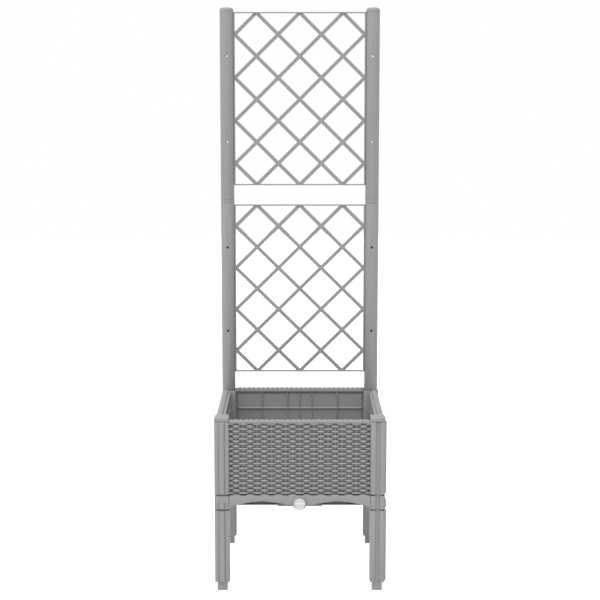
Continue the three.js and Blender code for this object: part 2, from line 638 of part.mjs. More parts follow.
CORNERS.forEach(([corner, sideX, sideY]) => {
  const at = (z) => [sideX * POST_AXIS, sideY * POST_AXIS, z];
  const post = handed(postMoulding(), sideX, sideY);
  const postSlots = facing(tongueSlots(-1, POST_HEIGHT + 1), sideX, sideY);
  const skirtSlots = facing(tongueSlots(LEDGE_UNDERSIDE - CLEARANCE - SOCKET_BOTTOM,
    SOCKET_HEIGHT + 1), sideX, sideY);
  place(`leg_${corner}`, post, GREY, at(PEG_HEIGHT));
  place(`corner_socket_${corner}`, cut(handed(cornerSocket(), sideX, sideY), skirtSlots), GREY,
    at(SOCKET_BOTTOM));
  place(`corner_post_${corner}`, cut(post, postSlots), GREY, at(POST_BOTTOM));
});

['front', 'right', 'back', 'left'].forEach((side, quarter) => {
  place(`wall_panel_${side}`, wallPanel(), GREY, [0, 0, 0], quarter * Math.PI / 2);
});

[['left', -1], ['right', 1]].forEach(([side, sign]) => {
  const handedTube = (solid) => (sign > 0 ? solid.mirror([1, 0, 0]) : solid);
  const onAxis = (z) => [sign * TUBE_X, TUBE_Y, z];
  const capPlace = [sign * POST_AXIS, -POST_AXIS, POST_TOP + SEAM];
  place(`post_cap_front_${side}`, postCap(), GREY, capPlace);
  place(`tube_adapter_${side}`, tubeAdapter(sign), GREY, [sign * POST_AXIS, POST_AXIS, POST_TOP]);
  ['upper', 'lower'].forEach((storey, i) => {
    place(`trellis_tube_${storey}_${side}`, handedTube(trellisTube(STOREYS[i])), GREY,
      onAxis(STOREYS[i].tubeBottom));
  });
  place(`tube_coupler_${side}`, tubeCoupler(), GREY, onAxis(COLLAR_BOTTOM));
  place(`tube_cap_${side}`, tubeCap(), GREY, onAxis(TUBE_CAP_BOTTOM));
});

['upper', 'lower'].forEach((storey, i) => {
  place(`trellis_panel_${storey}`, latticePanel(STOREYS[i]), GREY,
    [0, TUBE_Y, STOREYS[i].latticeTop]);
});

place('drain_seal', alongFront(tube(SEAL_RADIUS, PLUG_SHANK_RADIUS + CLEARANCE, 0, SEAL_THICKNESS)),
  RUBBER, [0, -BOSS_FACE - CLEARANCE, DRAIN_Z]);
place('drain_plug', alongFront(drainPlug()), WHITE, [0, -PLUG_BACK, DRAIN_Z]);

// The ribs on the right and the plug in front make the outer box lopsided about the planter.
const OUTER_LEFT = Math.max(HALF, TUBE_X + TUBE_RADIUS);
const OUTER_RIGHT = Math.max(HALF + RIB_RISE, TUBE_X + TUBE_RADIUS);
assembly.position.set((OUTER_LEFT - OUTER_RIGHT) / 2, (PLUG_FRONT - HALF - RIB_RISE) / 2, 0);

const planter = new THREE.Group();
planter.add(assembly);

export default planter;
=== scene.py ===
"""Looks of a square basket-weave planter on legs with a two-storey lattice trellis.

Every piece is modelled in the planter's own coordinates, whose middle is x = y = 0 and whose
floor is z = 0, in metres, with the front facing -Y. settle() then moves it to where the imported
frame has the planter.
"""

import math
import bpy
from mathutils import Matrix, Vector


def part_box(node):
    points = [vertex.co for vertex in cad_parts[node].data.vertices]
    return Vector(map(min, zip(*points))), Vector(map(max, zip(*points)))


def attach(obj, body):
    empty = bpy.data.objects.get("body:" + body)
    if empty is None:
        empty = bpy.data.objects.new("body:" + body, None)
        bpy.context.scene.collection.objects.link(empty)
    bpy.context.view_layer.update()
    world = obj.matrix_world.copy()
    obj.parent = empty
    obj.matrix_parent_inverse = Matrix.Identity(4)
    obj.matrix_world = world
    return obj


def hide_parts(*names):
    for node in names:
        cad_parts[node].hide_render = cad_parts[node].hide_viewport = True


bl_info = {
    "name": "Planter with trellis",
    "version": (1, 0, 0),
    "blender": (4, 5, 0),
    "location": "View3D > Sidebar > Planter",
    "description": "Models the planter's mouldings, trellis and drain plug around its packed frame",
    "category": "Add Mesh",
}

import bmesh
import bpy
from mathutils import Matrix, Vector

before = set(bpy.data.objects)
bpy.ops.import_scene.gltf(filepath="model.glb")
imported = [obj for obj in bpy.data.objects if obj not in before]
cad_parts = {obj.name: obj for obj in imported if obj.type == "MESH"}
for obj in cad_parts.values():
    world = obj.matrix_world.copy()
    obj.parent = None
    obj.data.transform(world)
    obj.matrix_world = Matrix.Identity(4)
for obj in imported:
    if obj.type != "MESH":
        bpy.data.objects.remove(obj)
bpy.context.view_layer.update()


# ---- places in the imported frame
def box_span(low_node, high_node, axis):
    """Lowest place of one node and highest place of another along an axis."""
    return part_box(low_node)[0][axis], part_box(high_node)[1][axis]


MIDDLE = Vector((
    sum(box_span("wall_panel_left", "wall_panel_right", 0)) / 2,
    sum(box_span("wall_panel_front", "wall_panel_back", 1)) / 2,
    0.0,
))
LEVELS = {node: (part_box(node)[0].z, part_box(node)[1].z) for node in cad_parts}
CORNERS = {
    "front_left": (-1, -1), "front_right": (1, -1), "back_right": (1, 1), "back_left": (-1, 1),
}
SIDES = {"front": 0, "right": 1, "back": 2, "left": 3}
HANDS = {"left": -1, "right": 1}
POST_HALF = 0.207  # from the middle to the flat outer faces of the posts
CLEARANCE = 0.0003  # between pieces that rest on or slide into each other
OVERLAP = 0.001  # how far joined bodies and cutters reach past a face


# ---- sizes and colours
def setting(name, description, default, kind=bpy.props.FloatProperty, **limits):
    """A setting that the panel shows."""
    return kind(name=name, description=description, default=default, **limits)


def length(name, description, default):
    return setting(name, description, default, min=0.0, precision=4, unit="LENGTH")


def number(name, description, default):
    return setting(name, description, default, bpy.props.IntProperty, min=1)


def colour(name, description, default):
    return setting(name, description, default, bpy.props.FloatVectorProperty,
                   size=3, min=0.0, max=1.0, subtype="COLOR")


class PostSizes(bpy.types.PropertyGroup):
    """Sizes of the post moulding, used for legs, sockets and corner posts."""
    side: length("Side", "Outer side of the square post", 0.036)
    corner: length("Corner radius", "Rounding of the post's upright edges", 0.0042)
    edge: length("Edge softness", "Rounding of the lower edges", 0.0006)
    top_edge: length("Top edge", "Rounding of the upper edges", 0.0014)
    seam: length("Seam", "How far a post's ends stand back from the seams", 0.0016)
    rib_groove: length("Rib groove", "Width of the groove beside the raised rib", 0.0009)
    rib_foot: length("Rib foot", "Width of the raised rib where it leaves the face", 0.0146)
    rib_crest: length("Rib crest", "Width of the raised rib's flat top", 0.0103)
    rib_rise: length("Rib rise", "Height of the raised rib above the face", 0.0034)
    channel_mouth: length("Channel mouth", "Width of the sunk channel at the face", 0.0112)
    channel_floor: length("Channel floor", "Width of the sunk channel's floor", 0.0094)
    channel_depth: length("Channel depth", "Depth of the sunk channel", 0.0042)
    peg: length("Peg side", "Side of the square peg at the post's foot", 0.024)
    peg_height: length("Peg height", "Height of the square peg", 0.0206)
    socket_rib: length("Socket rib", "Height of the rib on a corner socket", 0.024)


class WeaveSizes(bpy.types.PropertyGroup):
    """Sizes of the woven wall panels."""
    rows: number("Rows", "Woven rows from the bottom to the border", 29)
    row_pitch: length("Row pitch", "Height from one row to the next", 0.006105)
    first_row: length("First row", "Middle of the lowest row above the panel's bottom", 0.00505)
    wave_pitch: length("Wave pitch", "From one bulge of a row to the next", 0.0342)
    long_bulge: length("Long bulge", "Length of the long bulges", 0.0242)
    long_height: length("Long bulge height", "Height of the long bulges", 0.0051)
    short_bulge: length("Short bulge", "Length of the short bulges", 0.0172)
    short_height: length("Short bulge height", "Height of the short bulges", 0.0065)
    strand_thickness: length("Strand thickness", "Thickness of a strand", 0.0044)
    dip: length("Dip", "How far a strand dips behind the stakes", 0.0085)
    stake_width: length("Stake width", "Width of the upright stakes", 0.0056)
    lobe_pitch: length("Border pitch", "From one lobe of the border to the next", 0.0126)


class TrellisSizes(bpy.types.PropertyGroup):
    """Sizes of the lattice panels and their tubes."""
    slat_width: length("Slat width", "Width of the crossing slats", 0.0092)
    slat_depth: length("Slat depth", "Depth of the crossing slats", 0.005)
    bar: length("Frame bar", "Height of the lattice's frame bars", 0.003)
    bar_depth: length("Frame depth", "Depth of the lattice's frame bars", 0.0115)
    hole: length("Cross hole radius", "Radius of the holes through the tubes", 0.003)
    across: number("Meshes across", "Lattice pitches across", 3)
    up: number("Meshes up", "Lattice pitches up", 4)


class Finishes(bpy.types.PropertyGroup):
    """Colours of the plastics and of the studio."""
    grey: colour("Grey plastic", "Colour of the mouldings", (0.347, 0.347, 0.347))
    white: colour("White plastic", "Colour of the drain plug", (0.76, 0.76, 0.75))
    rubber: colour("Seal rubber", "Colour of the sealing ring", (0.03, 0.03, 0.03))
    floor: colour("Floor", "Colour of the studio floor", (0.7, 0.7, 0.7))


class StudioSettings(bpy.types.PropertyGroup):
    """Camera and light."""
    lens: setting("Lens", "Focal length of the camera", 87.24, unit="CAMERA")
    pitch: setting("Camera pitch", "How far the camera looks down", math.radians(8.0),
                   subtype="ANGLE")
    key: setting("Key light", "Strength of the sun lamp", 1.5, min=0.0)
    sky: setting("Sky light", "Strength of the world's light", 0.70, min=0.0)
    side_light: setting("Side light", "How much brighter the sky is on the left", 0.25)
    front_light: setting("Front light", "How much brighter the sky is in front", 0.25)


# ---- modelling tools
def clear_selection():
    """Leaves edit mode and deselects everything."""
    if bpy.context.mode != "OBJECT":
        bpy.ops.object.mode_set(mode="OBJECT")
    bpy.ops.object.select_all(action="DESELECT")


def only(obj):
    """Selects one object alone and makes it active."""
    clear_selection()
    obj.select_set(True)
    bpy.context.view_layer.objects.active = obj
    return obj


def place_in_mesh(obj):
    """Moves an object's place, turn and scale into its mesh."""
    only(obj)
    bpy.ops.object.transform_apply(location=True, rotation=True, scale=True)
    return obj


def block(low, high):
    """A block between two opposite corners."""
    clear_selection()
    low, high = Vector(low), Vector(high)
    bpy.ops.mesh.primitive_cube_add(size=1, location=(low + high) / 2)
    obj = bpy.context.object
    obj.scale = high - low
    return place_in_mesh(obj)


def square_block(side, bottom, top):
    return block((-side / 2, -side / 2, bottom), (side / 2, side / 2, top))


def rod(radius, bottom, top, sides=64):
    """A round rod about the Z axis."""
    clear_selection()
    bpy.ops.mesh.primitive_cylinder_add(
        vertices=sides, radius=radius, depth=top - bottom, location=(0, 0, (top + bottom) / 2))
    return place_in_mesh(bpy.context.object)


def pick(obj, kind, test):
    """Enters edit mode with only those vertices, edges or faces selected that pass the test."""
    only(obj)
    bpy.ops.object.mode_set(mode="EDIT")
    bpy.ops.mesh.select_mode(type=kind)
    bpy.ops.mesh.select_all(action="DESELECT")
    mesh = bmesh.from_edit_mesh(obj.data)
    chosen = {"VERT": mesh.verts, "EDGE": mesh.edges, "FACE": mesh.faces}[kind]
    for element in chosen:
        if test(element):
            element.select_set(True)
    mesh.select_flush_mode()
    bmesh.update_edit_mesh(obj.data)


def done(obj):
    bpy.ops.object.mode_set(mode="OBJECT")
    return obj


def extrude(offset):
    """Extrudes the selected region by an offset."""
    bpy.ops.mesh.extrude_region_move(TRANSFORM_OT_translate={"value": offset})


def resize(factors, centre=(0, 0, 0)):
    """Scales what is selected about a centre."""
    bpy.ops.transform.resize(value=factors, center_override=centre)


def pick_faces(obj, direction):
    """Enters edit mode with only those faces selected that look in a direction."""
    pick(obj, "FACE", lambda face: face.normal.dot(Vector(direction)) > 0.99)


def upright(edge):
    """A test for edges that run along Z."""
    along = edge.verts[1].co - edge.verts[0].co
    return abs(along.normalized().z) > 0.99


def apply_modifier(obj, kind, **values):
    """Adds a modifier with the given settings and applies it."""
    only(obj)
    modifier = obj.modifiers.new(kind.title(), kind)
    for name, value in values.items():
        setattr(modifier, name, value)
    bpy.ops.object.modifier_apply(modifier=modifier.name)
    return obj


def combine(body, operation, tools):
    """Adds, cuts or intersects a body with tools, which are used up."""
    for tool in tools:
        apply_modifier(body, "BOOLEAN", operation=operation, solver="EXACT", object=tool)
        bpy.data.objects.remove(tool, do_unlink=True)
    return body


def fuse(body, *tools):
    return combine(body, "UNION", tools)


def carve(body, *tools):
    return combine(body, "DIFFERENCE", tools)


def soften(obj, width, segments=2, angle=30):
    """Rounds the edges that are sharper than an angle."""
    return apply_modifier(
        obj, "BEVEL", width=width, segments=segments, limit_method="ANGLE",
        angle_limit=math.radians(angle), use_clamp_overlap=False)


def repeat(obj, count, step, merge=False):
    """Copies a shape in a row."""
    return apply_modifier(
        obj, "ARRAY", count=count, use_relative_offset=False, use_constant_offset=True,
        constant_offset_displace=Vector(step), use_merge_vertices=merge, merge_threshold=1e-5)


def centred_row(obj, count, pitch):
    """Copies a shape along X, with the row's middle at x = 0."""
    return repeat(shifted(obj, ((1 - count) / 2 * pitch, 0, 0)), count, (pitch, 0, 0))


def moved(obj, matrix):
    """Moves a mesh; a mirrored one is turned right side out again."""
    obj.data.transform(matrix)
    if matrix.determinant() < 0:
        obj.data.flip_normals()
    return obj


def shifted(obj, offset):
    return moved(obj, Matrix.Translation(Vector(offset)))


def turned(obj, angle, axis="Z"):
    return moved(obj, Matrix.Rotation(angle, 4, axis))


def copy_of(obj):
    twin = obj.copy()
    twin.data = obj.data.copy()
    bpy.context.scene.collection.objects.link(twin)
    return twin


def gather(*objs):
    """Joins objects into the first one, side by side in one mesh."""
    only(objs[0])
    for obj in objs[1:]:
        obj.select_set(True)
    bpy.ops.object.join()
    return objs[0]


def discard(*objs):
    for obj in objs:
        bpy.data.objects.remove(obj, do_unlink=True)


def trim(obj, point, normal):
    """Cuts a mesh at a plane, drops what lies beyond it and closes the cut."""
    pick(obj, "FACE", lambda face: True)
    bpy.ops.mesh.bisect(plane_co=point, plane_no=normal, use_fill=True, clear_outer=True)
    return done(obj)


def outwards(obj):
    """Turns all faces of a closed mesh outwards."""
    pick(obj, "FACE", lambda face: True)
    bpy.ops.mesh.normals_make_consistent(inside=False)
    return done(obj)


def shade(obj, angle):
    """Shades smoothly across the edges that turn less than an angle in degrees."""
    only(obj)
    bpy.ops.object.shade_smooth_by_angle(angle=math.radians(angle))
    return obj


def settle(obj, node, name="", finish="grey_moulding", body="planter",
           smooth=32):
    """Names a finished piece, gives it its finish and puts it in its node's place."""
    obj.name = name or f"{node}_moulding"
    obj.data.name = obj.name
    shifted(obj, MIDDLE)
    obj.data.materials.clear()
    obj.data.materials.append(finish_of(finish))
    shade(obj, smooth)
    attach(obj, body)
    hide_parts(node)


def handed(obj, side_x, side_y):
    """On the left a post's rib faces the front or back, and on the right the side."""
    if side_x > 0:
        turned(obj, math.pi / 2)
    if side_y > 0:
        moved(obj, Matrix.Scale(-1, 4, (0, 1, 0)))
    return obj


# ---- materials
GLOSS_SPREAD = 0.16  # how much the roughness changes over a surface
BUMP_STRENGTH = 0.6
SPECULAR_LEVEL = 0.3
SEEN_FLOOR_GLOW = 0.75  # makes the floor white where the camera sees it


def feed(tree, value, target):
    """Sets an input to a number, or links another node's output to it."""
    if isinstance(value, (int, float)):
        target.default_value = value
    else:
        tree.links.new(value, target)


def math_node(tree, operation, first, second):
    """A Math node whose two inputs are sockets or numbers."""
    node = tree.nodes.new("ShaderNodeMath")
    node.operation = operation
    feed(tree, first, node.inputs[0])
    feed(tree, second, node.inputs[1])
    return node.outputs[0]


def weighted_sum(tree, first, first_share, second, second_share):
    return math_node(tree, "ADD", math_node(tree, "MULTIPLY", first, first_share),
                     math_node(tree, "MULTIPLY", second, second_share))


def noise_node(tree, vector, scale, detail, roughness=0.5):
    node = tree.nodes.new("ShaderNodeTexNoise")
    feed(tree, vector, node.inputs["Vector"])
    feed(tree, scale, node.inputs["Scale"])
    feed(tree, detail, node.inputs["Detail"])
    feed(tree, roughness, node.inputs["Roughness"])
    return node.outputs["Fac"]


def seen_directly(tree):
    """1 for camera and glossy rays, 0 for the rays that light the object."""
    seen = tree.nodes.new("ShaderNodeLightPath").outputs
    return math_node(tree, "MAXIMUM", seen["Is Camera Ray"], seen["Is Glossy Ray"])


def moulded_grain_group():
    """Tone, gloss and height of a moulded plastic surface."""
    group = bpy.data.node_groups.new("moulded_grain", "ShaderNodeTree")
    for name, way, kind in (
            ("Vector", "INPUT", "Vector"), ("Tone Change", "INPUT", "Float"),
            ("Grain Scale", "INPUT", "Float"), ("Tone", "OUTPUT", "Float"),
            ("Gloss Change", "OUTPUT", "Float"), ("Height", "OUTPUT", "Float")):
        group.interface.new_socket(name=name, in_out=way, socket_type="NodeSocket" + kind)
    given = group.nodes.new("NodeGroupInput").outputs
    made = group.nodes.new("NodeGroupOutput").inputs
    cloud = noise_node(group, given["Vector"], scale=9.0, detail=3.0, roughness=0.55)
    mottle = noise_node(group, given["Vector"], scale=160.0, detail=2.0, roughness=0.6)
    grain = noise_node(group, given["Vector"], given["Grain Scale"], detail=1.0)
    patches = math_node(group, "SUBTRACT", weighted_sum(group, cloud, 0.6, mottle, 0.4), 0.5)
    tone = math_node(group, "MULTIPLY", patches, given["Tone Change"])
    feed(group, math_node(group, "ADD", tone, 1.0), made["Tone"])
    gloss = math_node(group, "SUBTRACT", mottle, 0.5)
    feed(group, math_node(group, "MULTIPLY", gloss, GLOSS_SPREAD), made["Gloss Change"])
    feed(group, weighted_sum(group, grain, 0.7, mottle, 0.3), made["Height"])
    return group


def plastic(name, base, roughness, tone_change, grain_scale, grain_height):
    """A moulded plastic with its own tone, grain and gloss."""
    material = bpy.data.materials.new(name)
    material.use_nodes = True
    tree = material.node_tree
    shader = tree.nodes["Principled BSDF"]
    place = tree.nodes.new("ShaderNodeTexCoord").outputs["Object"]
    grain = tree.nodes.new("ShaderNodeGroup")
    grain.node_tree = bpy.data.node_groups.get("moulded_grain") or moulded_grain_group()
    grain.inputs["Tone Change"].default_value = tone_change
    grain.inputs["Grain Scale"].default_value = grain_scale
    feed(tree, place, grain.inputs["Vector"])
    tint = tree.nodes.new("ShaderNodeVectorMath")
    tint.operation = "SCALE"
    tint.inputs[0].default_value = base
    feed(tree, grain.outputs["Tone"], tint.inputs["Scale"])
    feed(tree, tint.outputs[0], shader.inputs["Base Color"])
    feed(tree, math_node(tree, "ADD", grain.outputs["Gloss Change"], roughness),
         shader.inputs["Roughness"])
    bump = tree.nodes.new("ShaderNodeBump")
    bump.inputs["Distance"].default_value = grain_height
    bump.inputs["Strength"].default_value = BUMP_STRENGTH
    feed(tree, grain.outputs["Height"], bump.inputs["Height"])
    feed(tree, bump.outputs["Normal"], shader.inputs["Normal"])
    shader.inputs["Specular IOR Level"].default_value = SPECULAR_LEVEL
    material.diffuse_color = (*base, 1.0)
    return material


def finish_of(name):
    """The material of that name, built when it is first asked for."""
    if name in bpy.data.materials:
        return bpy.data.materials[name]
    colours = bpy.context.scene.planter_finishes
    recipes = {  # colour, roughness, change of tone, scale and height of the grain
        "grey_moulding": (colours.grey, 0.44, 0.05, 1700.0, 0.00006),
        "woven_grey": (colours.grey, 0.42, 0.07, 900.0, 0.0001),
        "white_plug": (colours.white, 0.38, 0.03, 2200.0, 0.00003),
        "seal_rubber": (colours.rubber, 0.75, 0.2, 900.0, 0.00006),
    }
    return plastic(name, *recipes[name])


# ---- posts
POST_FLOOR = 0.004  # solid bottom under the hollow
CORNER_SEGMENTS = 5
GROOVE_STOP = 0.007  # a socket's grooves end this far below its rib's top
MOUTH_DEPTH = 0.005  # lead-in mouth at a post's top
MOUTH_RIM = 0.0022  # the mouth is this much narrower than the post


def raised_rib(sizes, bottom, top):
    """A rib on the -Y face whose sides and ends slope."""
    face = -sizes.side / 2
    rib = block((-sizes.rib_foot / 2, face - sizes.rib_rise, bottom),
                (sizes.rib_foot / 2, face + sizes.rib_rise, top))
    slope = (sizes.rib_foot - sizes.rib_crest) / 2
    pick_faces(rib, (0, -1, 0))
    resize((sizes.rib_crest / sizes.rib_foot, 1, 1 - 2 * slope / (top - bottom)),
           (0, face - sizes.rib_rise, (bottom + top) / 2))
    done(rib)
    # the part inside the post is straight, so that the slope starts at the face
    pick_faces(rib, (0, 1, 0))
    bpy.ops.transform.translate(value=(0, -sizes.rib_rise, 0))
    extrude((0, sizes.rib_rise, 0))
    return done(rib)


def sunk_channel(sizes, bottom, top):
    """The cutter of the channel on the -X face."""
    face = -sizes.side / 2
    cutter = block((face - sizes.channel_depth, -sizes.channel_floor / 2, bottom),
                   (face + sizes.channel_depth, sizes.channel_floor / 2, top))
    widening = (2 * sizes.channel_mouth - sizes.channel_floor) / sizes.channel_floor
    pick_faces(cutter, (-1, 0, 0))
    resize((1, widening, 1))
    return done(cutter)


def funnel(throat, mouth, top):
    """The cutter of a square mouth at a post's top that narrows downwards to the throat."""
    cutter = square_block(throat, top - MOUTH_DEPTH, top + MOUTH_DEPTH)
    pick_faces(cutter, (0, 0, 1))
    widening = (2 * mouth - throat) / throat
    resize((widening, widening, 1))
    return done(cutter)


def rounded_post(sizes, bottom, top):
    """A square block with round upright edges."""
    body = square_block(sizes.side, bottom, top)
    pick(body, "EDGE", upright)
    bpy.ops.mesh.bevel(offset=sizes.corner, segments=CORNER_SEGMENTS, affect="EDGES")
    return done(body)


def post_moulding(sizes, height, rib_height, hollow_from):
    """A post on its peg: rib on -Y, channel on -X, the body's bottom at z = 0."""
    body = rounded_post(sizes, sizes.seam, height - sizes.seam)
    middle = height / 2
    for rounding, end in ((sizes.edge, -1), (sizes.top_edge, 1)):
        pick(body, "EDGE", lambda edge: not upright(edge)
             and all(vertex.co.z * end > middle * end for vertex in edge.verts))
        bpy.ops.mesh.bevel(offset=rounding, segments=2, affect="EDGES")
        done(body)
    beside = sizes.rib_foot / 2 + sizes.rib_groove
    face = -sizes.side / 2
    groove_top = height + OVERLAP if rib_height == height else rib_height - GROOVE_STOP
    carve(body, block((-beside, face - OVERLAP, -OVERLAP),
                      (beside, face + 2 * sizes.rib_groove, groove_top)))
    fuse(body, raised_rib(sizes, sizes.seam, min(rib_height, height - sizes.seam)))
    fuse(body, square_block(sizes.peg, -sizes.peg_height, hollow_from / 2))
    bore = sizes.peg + 2 * CLEARANCE
    return carve(body, sunk_channel(sizes, -OVERLAP, height + OVERLAP),
                 square_block(bore, hollow_from, height + OVERLAP),
                 funnel(bore, sizes.side - MOUTH_RIM, height))


class PLANTER_OT_posts(bpy.types.Operator):
    """Model the legs, the corner sockets and the corner posts"""
    bl_idname = "planter.posts"
    bl_label = "Legs and posts"

    def execute(self, context):
        sizes = context.scene.planter_posts
        axis = POST_HALF - sizes.side / 2
        low, high = LEVELS["leg_front_left"]
        height = high - low - sizes.peg_height
        long_post = post_moulding(sizes, height, height, POST_FLOOR)
        socket_low, socket_high = LEVELS["corner_socket_front_left"]
        socket_height = socket_high - socket_low - sizes.peg_height
        short_post = post_moulding(
            sizes, socket_height, sizes.socket_rib, socket_height - sizes.peg_height - CLEARANCE)
        for corner, (side_x, side_y) in CORNERS.items():
            for kind, model in (("leg", long_post), ("corner_socket", short_post),
                                ("corner_post", long_post)):
                node = f"{kind}_{corner}"
                piece = handed(copy_of(model), side_x, side_y)
                bottom = LEVELS[node][0] + sizes.peg_height
                shifted(piece, (side_x * axis, side_y * axis, bottom))
                settle(piece, node)
        discard(long_post, short_post)
        return {"FINISHED"}


# ---- woven wall panels
STRAND_FACE = 0.2046  # front of the bulges
STAKE_FACE = 0.1974
PANEL_FACE = 0.1936  # outer face of the panel's core, behind the strands
RIM_FACE = 0.2022  # outer face of the top rim, under the border
PANEL_BACK = 0.1928  # inner face of the core
PANEL_FIELD = 0.1887  # inner face of the raised field
PANEL_INNER = 0.1839  # edge of the lip, crest of the ribs and battens
PANEL_HALF = 0.1707  # half of a panel's width
STRAND_END_GAP = 0.0004  # the strands end short of the panel's ends
RIM_DROP = 0.0005  # top rim below the panel's top
CORE_DROP = 0.004
LIP_DROP = 0.0045
LIP_HEIGHT = 0.0026
LIP_ROOT = 0.1932  # outer edge of the lip, inside the core
FIELD_MARGIN = 0.0045  # from the field to the panel's ends
FIELD_DROP = 0.0095  # field's top below the lip's top
RECESS_DEPTH = 0.0035  # margin round the field behind its face
RECESS_DROP = 0.008
RIB_PLACES = (-0.1, -0.033, 0.0, 0.033, 0.1)
RIB_WIDTH = 0.0046
BATTEN_HEIGHTS = (0.0775, 0.1313)
BATTEN_WIDTH = 0.0066
CREST_SHARE = 0.22  # crest of a rib or batten as a share of its foot


def strand_unit(sizes, bulge, height):
    """One wave of a strand, from one trough to the next, its bulge facing -Y at x = 0."""
    ramp = 0.0032
    knots = (  # distance from the bulge's middle, nearness to the front, height
        (0.0, 1.0, 1.0), (bulge / 2 - ramp, 0.88, 0.9), (bulge / 2, 0.5, 0.72),
        (bulge / 2 + ramp, 0.1, 0.62), (sizes.wave_pitch / 2, 0.0, 0.6),
    )
    stations = [(-x, near, swell) for x, near, swell in reversed(knots[1:])] + list(knots)

    def centre(near):
        return sizes.strand_thickness / 2 - STRAND_FACE + sizes.dip * (1 - near)

    x, near, swell = stations[0]
    clear_selection()
    bpy.ops.mesh.primitive_circle_add(
        vertices=8, radius=0.5, location=(x, centre(near), 0), rotation=(0, math.pi / 2, 0))
    strand = bpy.context.object
    strand.scale = (height * swell, sizes.strand_thickness, 1)
    place_in_mesh(strand)
    pick(strand, "VERT", lambda vertex: True)
    for next_x, next_near, next_swell in stations[1:]:
        extrude((next_x - x, centre(next_near) - centre(near), 0))
        resize((1, 1, next_swell / swell), (next_x, centre(next_near), 0))
        x, near, swell = next_x, next_near, next_swell
    return done(strand)


def woven_row(sizes, bulge, height, offset, z):
    """One strand across the panel, with a bulge at x = offset."""
    waves = math.ceil(2 * PANEL_HALF / sizes.wave_pitch) + 2
    strand = repeat(strand_unit(sizes, bulge, height), waves, (sizes.wave_pitch, 0, 0), merge=True)
    shifted(strand, (offset - (waves // 2) * sizes.wave_pitch, 0, z))
    for end in (1, -1):
        trim(strand, (end * (PANEL_HALF - STRAND_END_GAP), 0, 0), (end, 0, 0))
    return outwards(strand)


def weave(sizes, bottom):
    """All strands: long and short bulges in turn; the lowest row is cut at the bottom."""
    step = (0, 0, 2 * sizes.row_pitch)
    first = bottom + sizes.first_row
    long_row = woven_row(sizes, sizes.long_bulge, sizes.long_height, 0, first)
    short_row = woven_row(sizes, sizes.short_bulge, sizes.short_height, sizes.wave_pitch / 2,
                          first + sizes.row_pitch)
    lowest = shifted(copy_of(short_row), (0, 0, -step[2]))
    outwards(trim(lowest, (0, 0, bottom + 0.0002), (0, 0, -1)))
    return gather(repeat(long_row, (sizes.rows + 1) // 2, step),
                  repeat(short_row, sizes.rows // 2, step), lowest)


def stakes(sizes, bottom, top):
    """The upright stakes that the strands pass."""
    pitch = sizes.wave_pitch / 2
    count = 2 * int((PANEL_HALF - sizes.stake_width) // pitch) + 1
    half = sizes.stake_width / 2
    stake = block((-half, -STAKE_FACE, bottom), (half, -PANEL_FACE + OVERLAP, top))
    return centred_row(soften(stake, 0.0012), count, pitch)


def border(sizes, top):
    """The pillows of the border that lap over the panel's top edge."""
    count = int(2 * PANEL_HALF // sizes.lobe_pitch)
    half_width = sizes.lobe_pitch / 2 + 0.0018  # each lobe runs into the next
    half_depth = 0.0068
    lobe = block((-half_width, -half_depth, -0.0044), (half_width, half_depth, 0.0034))
    soften(lobe, 0.0026)
    turned(lobe, math.radians(12), "Y")
    turned(lobe, math.radians(8), "Z")
    crest = max(vertex.co.z for vertex in lobe.data.vertices)
    shifted(lobe, (0, half_depth + 0.0002 - STRAND_FACE, top + 0.0020 - crest))
    return centred_row(lobe, count, sizes.lobe_pitch)


def slab(outer, inner, half, low, high):
    """A block behind the front, between two distances from the middle."""
    return block((-half, -outer, low), (half, -inner, high))


def panel_core(bottom, top):
    """The moulding behind the weave: wall, top rim, recess, field, lip, ribs and battens."""
    half = PANEL_HALF
    lip_top = top - LIP_DROP
    core = slab(PANEL_FACE, PANEL_BACK, half, bottom, top - CORE_DROP)
    fuse(core,
         slab(RIM_FACE, PANEL_BACK, half, lip_top, top - RIM_DROP),
         slab(PANEL_BACK + OVERLAP, PANEL_FIELD, half - FIELD_MARGIN, bottom,
              lip_top - FIELD_DROP),
         slab(PANEL_BACK + OVERLAP, PANEL_FIELD + RECESS_DEPTH, half, bottom, top - RECESS_DROP),
         slab(LIP_ROOT, PANEL_INNER, half, lip_top - LIP_HEIGHT, lip_top))
    ribs = [shifted(stiffener(bottom, lip_top - OVERLAP, RIB_WIDTH), (x, 0, 0))
            for x in RIB_PLACES]
    end = half - FIELD_MARGIN - 0.0001
    battens = [shifted(turned(stiffener(-end, end, BATTEN_WIDTH), math.pi / 2, "Y"),
                       (0, 0, bottom + height)) for height in BATTEN_HEIGHTS]
    return gather(core, *ribs, *battens)


def stiffener(bottom, top, width):
    """A rib with sloping flanks along Z on the panel's inner face, at x = 0."""
    back, crest = -PANEL_FIELD - OVERLAP / 2, -PANEL_INNER
    rib = block((-width / 2, back, bottom), (width / 2, crest, top))
    pick_faces(rib, (0, 1, 0))
    resize((CREST_SHARE, 1, 1), (0, crest, 0))
    return done(rib)


class PLANTER_OT_wall_panels(bpy.types.Operator):
    """Weave the four wall panels"""
    bl_idname = "planter.wall_panels"
    bl_label = "Woven wall panels"

    def execute(self, context):
        sizes = context.scene.planter_weave
        bottom, top = LEVELS["wall_panel_front"]
        weave_top = bottom + sizes.first_row + (sizes.rows - 0.5) * sizes.row_pitch
        model = gather(panel_core(bottom, top), weave(sizes, bottom),
                       stakes(sizes, bottom + OVERLAP, weave_top), border(sizes, top))
        for side, quarter in SIDES.items():
            piece = turned(copy_of(model), quarter * math.pi / 2)
            settle(piece, f"wall_panel_{side}", f"woven_panel_{side}", "woven_grey", smooth=50)
        discard(model)
        return {"FINISHED"}


# ---- caps of the front posts
CAP_LAP = 0.0008  # cap's bottom below the post's top
CAP_CHAMFER = 0.003


